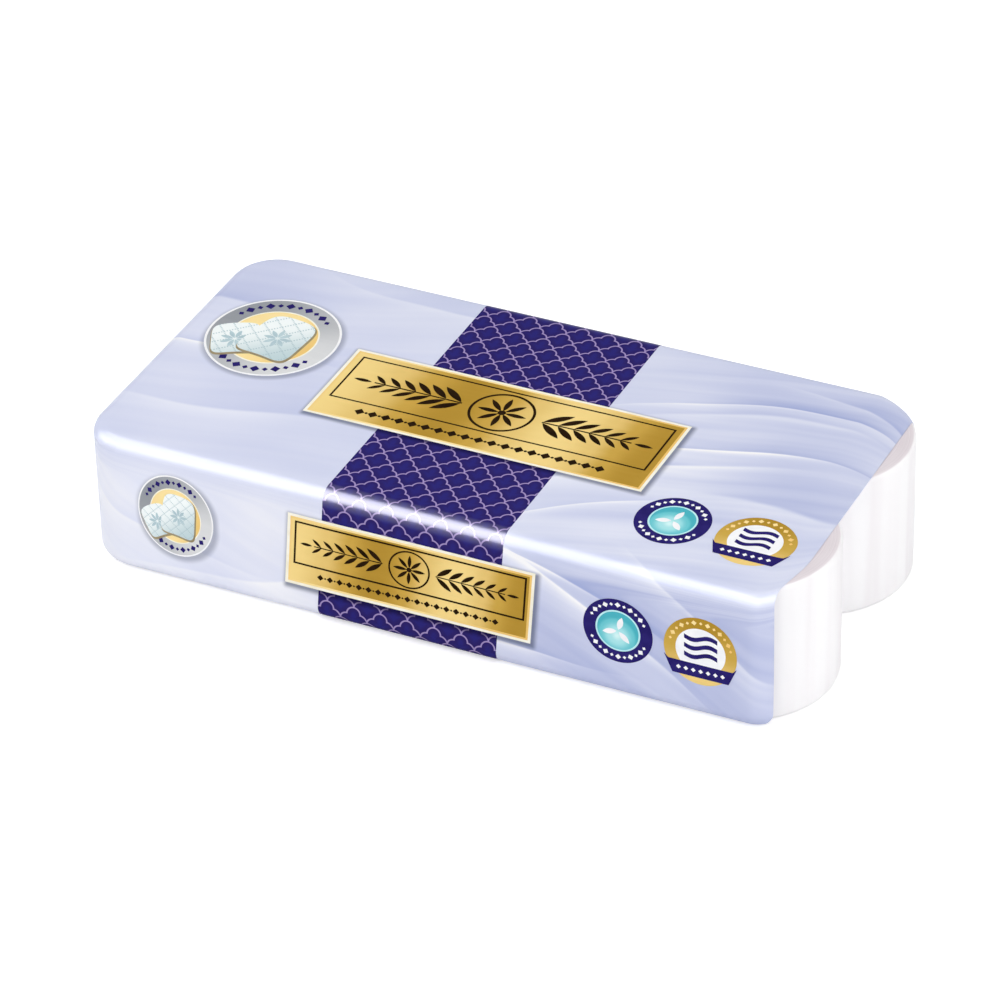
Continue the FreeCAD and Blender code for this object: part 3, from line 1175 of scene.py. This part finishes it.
def quilted_sheet(name, width, depth, lean, flare=0.0):
    """A soft-cornered sheet, leaning by an angle in degrees and wider at its foot by a share."""
    sheet = disc(name, 1.0, 96)
    lean = math.radians(lean)
    for vertex in sheet.data.vertices:
        angle = math.atan2(vertex.co.y, vertex.co.x)
        bulge = (abs(math.cos(angle)) ** 5 + abs(math.sin(angle)) ** 5) ** (-1 / 5)
        x, y = vertex.co.x * bulge * width / 2, vertex.co.y * bulge * depth / 2
        y -= depth * 0.05 * (2 * x / width) ** 2
        x *= 1 - flare * y / depth
        vertex.co = (x * math.cos(lean) - y * math.sin(lean), x * math.sin(lean) + y * math.cos(lean), 0.0)
    return sheet


def flower(name, petal):
    """A ring of eight petals."""
    places = ring_places(petal * 0.62, [2 * math.pi * index / 8 for index in range(8)])
    return stamp(name, leaf("petal", petal, petal * 0.34), places)


def shifted(piece, x, v):
    for vertex in piece.data.vertices:
        vertex.co.x += x
        vertex.co.y += v
    return piece


def layer_on(x, v, radius, stretch):
    """What lays one badge's flat shapes on the film, each at its own lift."""
    def lay(piece, lift, material, reach=radius):
        print_on_film(piece, x, v, reach, lift, material, stretch)
    return lay


def silver_badge(side, x, v, radius, stretch):
    """Silver ring, pale gold disc, and two quilted sheets that lie over them."""
    lay = layer_on(x, v, radius, stretch)
    lay(disc(f"silver_badge_rim_{side}", radius), 0.04, WHITE)
    lay(disc(f"silver_badge_ring_{side}", radius * 0.965), 0.06, SILVER)
    lay(disc(f"silver_badge_gold_rim_{side}", radius * 0.68), 0.08, CREAM)
    lay(disc(f"silver_badge_gold_{side}", radius * 0.655), 0.10, PALE_GOLD)
    for end, middle in (("upper", 100), ("lower", -80)):
        name = f"silver_badge_beads_{end}_{side}"
        lay(beads_on_arc(name, radius * 0.83, middle, 104, 11, radius * 0.075), 0.08, NAVY)
    sheets = {
        "lower": ((radius * 0.72, radius * 0.76, 26), -radius * 0.50, -radius * 0.20),
        "upper": ((radius * 0.86, radius * 1.02, -8, 0.10), radius * 0.08, radius * 0.03),
    }
    outline = radius * 0.035
    for order, (end, (sizes, along, across)) in enumerate(sheets.items()):
        lift = 0.12 + 0.06 * order
        name = f"silver_badge_{end}"
        cast = quilted_sheet(f"{name}_shade_{side}", sizes[0] + outline, sizes[1] + outline, *sizes[2:])
        lay(shifted(cast, along + radius * 0.02, across - radius * 0.03), lift, SHADE)
        sheet = quilted_sheet(f"{name}_sheet_{side}", *sizes)
        lay(shifted(sheet, along, across), lift + 0.02, QUILT)
        bloom = flower(f"{name}_flower_{side}", radius * 0.2)
        lay(shifted(bloom, along, across - radius * 0.04), lift + 0.04, EMBOSS)


def aqua_badge(side, x, v, radius, stretch):
    """Navy ring with white beads round a glassy aqua disc with three petals."""
    lay = layer_on(x, v, radius, stretch)
    lay(disc(f"aqua_badge_ring_{side}", radius), 0.06, NAVY)
    lay(disc(f"aqua_badge_rim_{side}", radius * 0.645), 0.09, PALE_AQUA)
    lay(disc(f"aqua_badge_disc_{side}", radius * 0.595), 0.12, AQUA, radius * 0.595)
    for end, middle in (("upper", 90), ("lower", -90)):
        name = f"aqua_badge_beads_{end}_{side}"
        lay(beads_on_arc(name, radius * 0.83, middle, 128, 11, radius * 0.085), 0.09, WHITE)
    petals = ring_places(radius * 0.25, [math.radians(angle) for angle in (75, 195, 315)])
    lay(stamp(f"aqua_badge_petals_{side}", leaf("petal", radius * 0.42, radius * 0.17), petals), 0.15, WHITE)


def wave_bar(name, width, depth):
    """A bar with a gentle wave, as one ply of three."""
    piece = rectangle(name, width, depth)
    divide(piece, 0, steps(-width / 2, width / 2, 24))
    for vertex in piece.data.vertices:
        vertex.co.y += depth * 0.5 * math.sin(vertex.co.x / width * 2 * math.pi)
    return piece


def ribbon_shape(name, radius):
    """A blank ribbon that narrows downwards, with its ends turned up."""
    ribbon = rectangle(name, radius * 1.92, radius * 0.4)
    divide(ribbon, 0, [-radius * 0.88, radius * 0.88])
    for vertex in ribbon.data.vertices:
        if abs(vertex.co.x) > radius * 0.9 and vertex.co.y > 0:
            vertex.co.y += radius * 0.12
            vertex.co.x *= 1.04
        if vertex.co.y < 0:
            vertex.co.x *= 0.8
        vertex.co.y -= radius * 0.6
    return ribbon


def layers_badge(side, x, v, radius, stretch):
    """Gold ring, white disc with three stacked waves, and a blank navy ribbon."""
    lay = layer_on(x, v, radius, stretch)
    lay(disc(f"layers_badge_ring_{side}", radius), 0.06, GOLD_RING)
    lay(disc(f"layers_badge_disc_{side}", radius * 0.68), 0.09, WHITE)
    beads = beads_on_arc(f"layers_badge_beads_{side}", radius * 0.85, 90, 150, 13, radius * 0.075)
    lay(beads, 0.09, PALE_GOLD)
    rises = [(0.0, radius * rise, 0.0, 1.0) for rise in (0.38, 0.12, -0.14)]
    wave = wave_bar("wave", radius * 0.9, radius * 0.13)
    lay(stamp(f"layers_badge_waves_{side}", wave, rises), 0.12, NAVY)
    lay(ribbon_shape(f"layers_badge_ribbon_{side}", radius), 0.15, NAVY)
    dashes = row_places(7, radius * 0.2, -radius * 0.6)
    lay(stamp(f"layers_badge_dashes_{side}", disc("dash", radius * 0.065, 4), dashes), 0.18, WHITE)


def badges():
    for side, spots in BADGES.items():
        silver_badge(side, *spots["silver"])
        aqua_badge(side, *spots["aqua"])
        layers_badge(side, *spots["layers"])


# The rolls

def roll_model(name, node, bore, end_roll):
    """One roll: wound turns with fine ridges on its ends, pressed flat where it meets its neighbours."""
    low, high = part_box(node)
    centre = Vector((low.x + PITCH / 2, (low.y + high.y) / 2, 0.0))
    height = ROLL_TOP - ROLL_BOTTOM
    deselect()
    bpy.ops.mesh.primitive_cylinder_add(vertices=ROLL_SIDES, radius=ROLL_RADIUS, depth=height,
                                        end_fill_type="NGON", location=(0, 0, (ROLL_TOP + ROLL_BOTTOM) / 2))
    roll = set_place(take(name))

    round_edges(roll, lambda ends: abs(ends[0].z - ends[1].z) < HAIR, ROLL_EDGE, 5)
    edit(roll, "FACE", lambda corners: len(corners) == ROLL_SIDES)
    step = (ROLL_RADIUS - ROLL_EDGE - bore) / ROLL_RINGS
    for ring in range(ROLL_RINGS):
        bpy.ops.mesh.inset(thickness=step, use_even_offset=True)
    leave()
    edit(roll, "FACE", lambda corners: len(corners) == ROLL_SIDES)
    bpy.ops.mesh.bridge_edge_loops()
    leave()
    shape_roll(roll, centre, bore, end_roll)
    return finished(roll, TISSUE, "paper", node)


def shape_roll(roll, centre, bore, end_roll):
    """Ripple the roll's side, ridge its ends with its turns, and press it flat against its neighbours."""
    seed = centre.x * 31 + centre.y * 17
    layer = roll.data.attributes.new("wound", "FLOAT_VECTOR", "POINT")
    flat_half = PITCH / 2
    for vertex, item in zip(roll.data.vertices, layer.data):
        x, y, z = vertex.co
        radius = math.hypot(x, y)
        angle = math.atan2(y, x)
        height = min(z - ROLL_BOTTOM, ROLL_TOP - z)
        on_end = smooth((ROLL_EDGE - height) / (ROLL_EDGE / 2))
        on_end *= smooth((ROLL_RADIUS - ROLL_BLEND - radius) / ROLL_BLEND)
        item.vector = (on_end, radius, 0.0)
        ripple = noise.noise(Vector((math.cos(angle) * 7, math.sin(angle) * 7, seed)))
        if radius > ROLL_RADIUS - ROLL_SKIN:
            radius -= ROLL_RIPPLE * (0.5 + 0.5 * ripple)
        dish = 0.0
        inner = bore + RIDGE_MARGIN
        outer = ROLL_RADIUS - ROLL_EDGE - RIDGE_MARGIN / 2
        if height < RIDGE_MARGIN / 2 and inner < radius < outer:
            dish = ROLL_RIPPLE * (0.5 + 0.5 * noise.noise(Vector((radius / RIDGE_PITCH, seed, 0.0))))
        x = radius * math.cos(angle)
        y = radius * math.sin(angle)
        z += dish if z < (ROLL_TOP + ROLL_BOTTOM) / 2 else -dish
        right_limit = ROLL_RADIUS if end_roll else flat_half
        x = min(max(x, -flat_half), right_limit)
        y = min(max(y, -flat_half), flat_half)
        vertex.co = (centre.x + x, centre.y + y, z)


def keep_inside_film(roll):
    """Round the roll's edges where the film's own edges are rounded."""
    skin = FILM_THICKNESS + ROLL_ROOM
    for vertex in roll.data.vertices:
        x, y, z = vertex.co
        y -= AXIS_Y
        side = math.copysign(1, y)
        narrow = narrowing(min(x, MOUTH), side)
        wall = (HALF - skin) * narrow
        corner_y = FLAT * narrow
        for level, up in ((TOP - EDGE, 1), (BOTTOM + EDGE, -1)):
            over_z = (z - level) * up
            over_y = abs(y) - corner_y
            reach = math.hypot(over_y, over_z)
            allowed = EDGE * narrow - skin
            if over_z > 0 and over_y > 0 and reach > allowed:
                y = side * (corner_y + over_y * allowed / reach)
                z = level + up * over_z * allowed / reach
            over_x = LEFT + EDGE - x
            reach = math.hypot(over_x, over_z)
            allowed = EDGE - skin
            if over_z > 0 and over_x > 0 and reach > allowed:
                x = LEFT + EDGE - over_x * allowed / reach
                z = level + up * over_z * allowed / reach
        y = side * min(abs(y), wall)
        vertex.co = (max(x, LEFT + skin), AXIS_Y + y, z)


def rolls():
    core_low, core_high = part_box("core_front_1")
    bore = (core_high.x - core_low.x) / 2 + CORE_ROOM
    for row in ("front", "back"):
        for column in range(1, 5):
            roll = roll_model(f"tissue_roll_{row}_{column}", f"roll_{row}_{column}", bore, column == 4)
            keep_inside_film(roll)


def core_finish():
    for name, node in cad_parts.items():
        if name.startswith("core_"):
            node.data.materials.clear()
            node.data.materials.append(BOARD)


# The studio

AIM = Vector((8.4, -34.3, 58.8)) * MM
AZIMUTH = math.radians(25.92)
ELEVATION = math.radians(33.85)
CAMERA_ROLL = math.radians(-1.454)
DISTANCE = 3.2406
LENS = 186.18

AMBIENT = 0.62
FLOOR_GLOW = 0.48
REFLECTOR = 7.6


def camera():
    back = Vector((math.sin(AZIMUTH) * math.cos(ELEVATION), -math.cos(AZIMUTH) * math.cos(ELEVATION),
                   math.sin(ELEVATION)))
    right = (-back).cross(Vector((0, 0, 1))).normalized()
    up = back.cross(right)
    right, up = (right * math.cos(CAMERA_ROLL) + up * math.sin(CAMERA_ROLL),
                 up * math.cos(CAMERA_ROLL) - right * math.sin(CAMERA_ROLL))
    turned = Matrix((right, up, back)).transposed()
    data = bpy.data.cameras.new("camera")
    data.lens = LENS
    data.sensor_width = 36.0
    data.clip_end = 50.0
    eye = bpy.data.objects.new("camera", data)
    bpy.context.collection.objects.link(eye)
    eye.location = AIM + back * DISTANCE
    eye.rotation_euler = turned.to_euler()
    bpy.context.scene.camera = eye


def seen(tree):
    """1 for rays that show the background directly, in gloss or through glass."""
    path = tree.nodes.new("ShaderNodeLightPath").outputs
    direct = Level(tree, path["Is Camera Ray"]).calc("MAXIMUM", path["Is Transmission Ray"])
    return direct.calc("MAXIMUM", path["Is Glossy Ray"])


def studio():
    """A pale world and floor that look brighter than the light that they give."""
    world = bpy.data.worlds.new("studio")
    world.use_nodes = True
    bpy.context.scene.world = world
    tree = world.node_tree
    background = next(node for node in tree.nodes if node.type == "BACKGROUND")
    background.inputs["Color"].default_value = (1.0, 1.0, 1.0, 1.0)
    feed(tree, background.inputs["Strength"], seen(tree) * (1.0 - AMBIENT) + AMBIENT)

    deselect()
    bpy.ops.mesh.primitive_plane_add(size=12.0)
    floor = take("floor")
    material, tree, shader = new_material("pale floor")
    shader.inputs["Base Color"].default_value = (0.80, 0.80, 0.81, 1.0)
    shader.inputs["Roughness"].default_value = 0.9
    shader.inputs["Specular IOR Level"].default_value = 0.0
    glow = add(tree, "ShaderNodeEmission", Strength=seen(tree) * FLOOR_GLOW)
    both = tree.nodes.new("ShaderNodeAddShader")
    tree.links.new(shader.outputs[0], both.inputs[0])
    tree.links.new(glow.outputs[0], both.inputs[1])
    output = next(node for node in tree.nodes if node.type == "OUTPUT_MATERIAL")
    tree.links.new(both.outputs[0], output.inputs["Surface"])
    floor.data.materials.append(material)


def softbox(name, direction, distance, width, height, radiance, only_gloss=False):
    """An area lamp aimed at the pack; a reflector that only shows in gloss lights nothing else."""
    data = bpy.data.lights.new(name, "AREA")
    data.shape = "RECTANGLE"
    data.size = width
    data.size_y = height
    data.energy = radiance * math.pi * width * height
    lamp = bpy.data.objects.new(name, data)
    bpy.context.collection.objects.link(lamp)
    towards = Vector(direction).normalized()
    lamp.location = AIM + towards * distance
    lamp.rotation_euler = towards.to_track_quat("Z", "Y").to_euler()
    lamp.visible_diffuse = not only_gloss
    lamp.visible_camera = False


def lights():
    softbox("key_softbox", (-0.363, -0.557, 0.747), 2.2, 0.8, 2.0, 3.7)
    softbox("edge_reflector_low", (-0.30, -0.80, 0.52), 2.0, 4.2, 1.5, REFLECTOR, only_gloss=True)
    softbox("edge_reflector_high", (-0.30, -0.33, 0.89), 2.0, 4.2, 0.9, REFLECTOR, only_gloss=True)
    softbox("corner_reflector", (-0.94, -0.12, 0.31), 2.0, 1.4, 1.2, REFLECTOR, only_gloss=True)
    softbox("mouth_reflector", (0.66, -0.58, 0.48), 2.0, 1.7, 1.8, REFLECTOR, only_gloss=True)
    softbox("right_fill", (1.0, -0.25, 0.35), 2.6, 1.6, 1.6, 2.8)


printed_film()
lap_seam()
end_flaps()
navy_band()
gold_plate("top", TOP_PLATE)
gold_plate("front", FRONT_PLATE)
badges()
rolls()
core_finish()
camera()
studio()
lights()
bpy.context.scene.view_settings.view_transform = "Standard"
